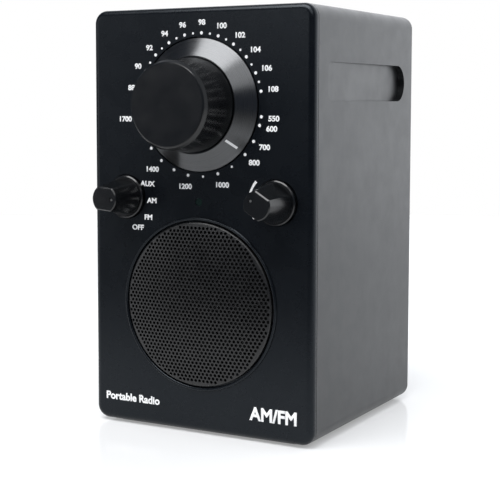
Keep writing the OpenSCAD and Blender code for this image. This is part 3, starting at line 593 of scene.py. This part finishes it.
def make_control_print(ink):
    """Names of the selector's four places, and a wedge that shows volume rising."""
    names = bmesh.new()
    for text, x, z in SELECTOR_NAMES:
        add_text(names, text, SELECTOR_X + x * MM, SELECTOR_Z + z * MM, NUMBER_HEIGHT)
    finish_piece("selector_names", names, ink, "radio")
    wedge = bmesh.new()
    inner, outer = [], []
    for i in range(WEDGE_STEPS + 1):
        along = i / WEDGE_STEPS
        degrees = WEDGE_LOUD + (WEDGE_QUIET - WEDGE_LOUD) * along
        half = WEDGE_HALF - WEDGE_LOSS * along
        inner.append(polar(VOLUME_X, VOLUME_Z, WEDGE_ORBIT - half, degrees))
        outer.append(polar(VOLUME_X, VOLUME_Z, WEDGE_ORBIT + half, degrees))
    add_prism(wedge, outer + inner[::-1], INK, on_front)
    finish_piece("volume_wedge", wedge, ink, "radio")


def make_marks(ink):
    """Two generic words at the foot of the front."""
    marks = bmesh.new()
    for text, x, z, height, squeeze, align in FRONT_WORDS:
        add_text(marks, text, x * MM, z * MM, height * MM, squeeze, WORD_WEIGHT, align)
    finish_piece("front_words", marks, ink, "radio")


# ---- Dial pointers and painted highlights in the knobs' dimples ----------------

POINTER_ANGLES = (-42.5, 137.5)
POINTER_NEAR, POINTER_FAR, POINTER_HALF = 18.7 * MM, 22.9 * MM, 0.48 * MM
CREST_R = 17.95 * MM               # of the cone's inner, most forward edge
RIM_PROUD = 0.1 * MM               # of the cone's outer edge before the front panel


def make_pointers(ink):
    """White lines on the cone of the dial ring, one for each half of the scale."""
    low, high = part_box("dial_ring")
    rim_r = (high.x - low.x) / 2
    slope = (FRONT_Y - RIM_PROUD - low.y) / (rim_r - CREST_R)
    shape = bmesh.new()
    for degrees in POINTER_ANGLES:
        along = Vector((math.cos(math.radians(degrees)), 0, math.sin(math.radians(degrees))))
        across = Vector((-along.z, 0, along.x))
        outward = Vector((0, -1, 0)) + slope * along
        outward.normalize()

        def place(radius, v, height):
            foot = Vector((DIAL_X, low.y + slope * (radius - CREST_R), DIAL_Z))
            return foot + along * radius + across * v + outward * (height - INK_BURIED)

        outline = [(POINTER_NEAR, -POINTER_HALF), (POINTER_FAR, -POINTER_HALF),
            (POINTER_FAR, POINTER_HALF), (POINTER_NEAR, POINTER_HALF)]
        add_prism(shape, outline, INK, place)
    finish_piece("dial_pointers", shape, ink, "dial")


SMALL_KNOBS = (                    # body, its axis, and the way it points in degrees
    ("selector", SELECTOR_X, SELECTOR_Z, -5), ("volume", VOLUME_X, VOLUME_Z, 148.5),
)
SPOT_ORBIT, SPOT_R, SPOT_SIDES = 3 * MM, 0.42 * MM, 16
SPOT_LOW, SPOT_T = 0.78 * MM, 0.12 * MM      # depth of its underside below the knob's face


def make_spots(painted_highlight):
    """A pale spot at the bottom of the dimple in each small knob: a painted highlight that stands
    in for the dimple's shine.
    """
    for body, x, z, degrees in SMALL_KNOBS:
        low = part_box(body + "_knob")[0].y + SPOT_LOW
        u, v = polar(x, z, SPOT_ORBIT, degrees)
        shape = bmesh.new()
        outline = circle(u, v, SPOT_R, SPOT_SIDES)
        add_prism(shape, outline, SPOT_T, lambda a, b, height: (a, low - height, b))
        finish_piece(body + "_spot", shape, painted_highlight, body)


# ---- Perforated grille ----------------------------------------------------------

COLUMN_STEP = 1.68 * MM
ROW_STEP = 1.36 * MM
HOLE_R = 0.61 * MM
SHEET_T = 0.8 * MM
SHEET_PROUD = 0.8 * MM             # of the sheet's edge before the front panel
SHEET_BEND = 0.5 * MM              # where the edge turns down
SHEET_SOFT = 0.1 * MM              # rounding of the bend
HOLE_SIDES = 8
RIM_SIDES = 96


def add_turned(shape, section):
    """A closed ring about the loudspeaker's axis on a section of (radius, y) points."""
    rings = [[shape.verts.new((SPEAKER_X + u, y, SPEAKER_Z + v))
        for u, v in circle(0, 0, radius, RIM_SIDES)] for radius, y in section]
    for i, ring in enumerate(rings):
        following = rings[(i + 1) % len(rings)]
        for j in range(RIM_SIDES):
            k = (j + 1) % RIM_SIDES
            shape.faces.new([ring[j], ring[k], following[k], following[j]])


def make_grille(material):
    """A domed sheet with staggered round holes up to its turned-down edge."""
    low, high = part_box("speaker_grille")
    outer = (high.x - low.x) / 2
    radius = outer - SHEET_BEND
    edge_y = FRONT_Y - SHEET_PROUD
    crown = edge_y - low.y
    rows = int(radius / ROW_STEP)
    points = circle(0, 0, radius, RIM_SIDES)
    loops = [list(range(RIM_SIDES))]
    for row in range(-rows, rows + 1):
        shift = COLUMN_STEP / 2 if row % 2 else 0
        columns = int(radius / COLUMN_STEP) + 1
        for column in range(-columns, columns + 1):
            x, z = column * COLUMN_STEP + shift, row * ROW_STEP
            if math.hypot(x, z) < radius - HOLE_R / 2:
                loops.append(list(range(len(points), len(points) + HOLE_SIDES)))
                points += circle(x, z, HOLE_R, HOLE_SIDES, 0.5)
    # the outer loop and the holes are faces, and only what no hole covers is kept
    found = delaunay_2d_cdt([Vector(p) for p in points], [], loops, 0, MERGE_WITHIN / 10, True)
    flat, triangles, sources = found[0], found[2], found[5]
    kept = [t for t, s in zip(triangles, sources) if s == [0]]

    def point(p, depth):
        drop = crown * (p.length / radius) ** 2
        return SPEAKER_X + p.x, low.y + drop + depth, SPEAKER_Z + p.y

    shape = bmesh.new()
    front = [shape.verts.new(point(p, 0)) for p in flat]
    back = [shape.verts.new(point(p, SHEET_T)) for p in flat]
    edges = {}
    for triangle in kept:
        shape.faces.new([front[i] for i in triangle])
        shape.faces.new([back[i] for i in reversed(triangle)])
        for a, b in zip(triangle, triangle[1:] + triangle[:1]):
            edges[a, b] = True
    for a, b in edges:
        if (b, a) not in edges:
            shape.faces.new([front[b], front[a], back[a], back[b]])
    bmesh.ops.delete(shape, geom=[v for v in shape.verts if not v.link_faces], context="VERTS")
    inner = outer - SHEET_T / 2
    add_turned(shape, [(radius - SHEET_SOFT, edge_y + SHEET_SOFT),
        (radius, edge_y + SHEET_SOFT / 5), (outer - SHEET_SOFT, edge_y + SHEET_BEND / 2),
        (outer, edge_y + SHEET_BEND), (outer, high.y), (inner, high.y),
        (inner, edge_y + SHEET_BEND + SHEET_SOFT)])
    piece = finish_piece("perforated_grille", shape, material, "radio")
    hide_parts("speaker_grille")


# ---- The whole scene -------------------------------------------------------------

make_camera()
make_world()
make_floor()
for box in SOFT_BOXES:
    soft_box(*box)
bpy.context.scene.view_settings.view_transform = "Standard"

surfaces = {slot: build().material for slot, build in SLOT_SURFACES.items()}
dress_cad_nodes(surfaces)
ink = white_ink().material
make_scale(ink)
make_control_print(ink)
make_marks(ink)
make_pointers(ink)
make_spots(index_paint().material)
make_grille(surfaces["grille"])
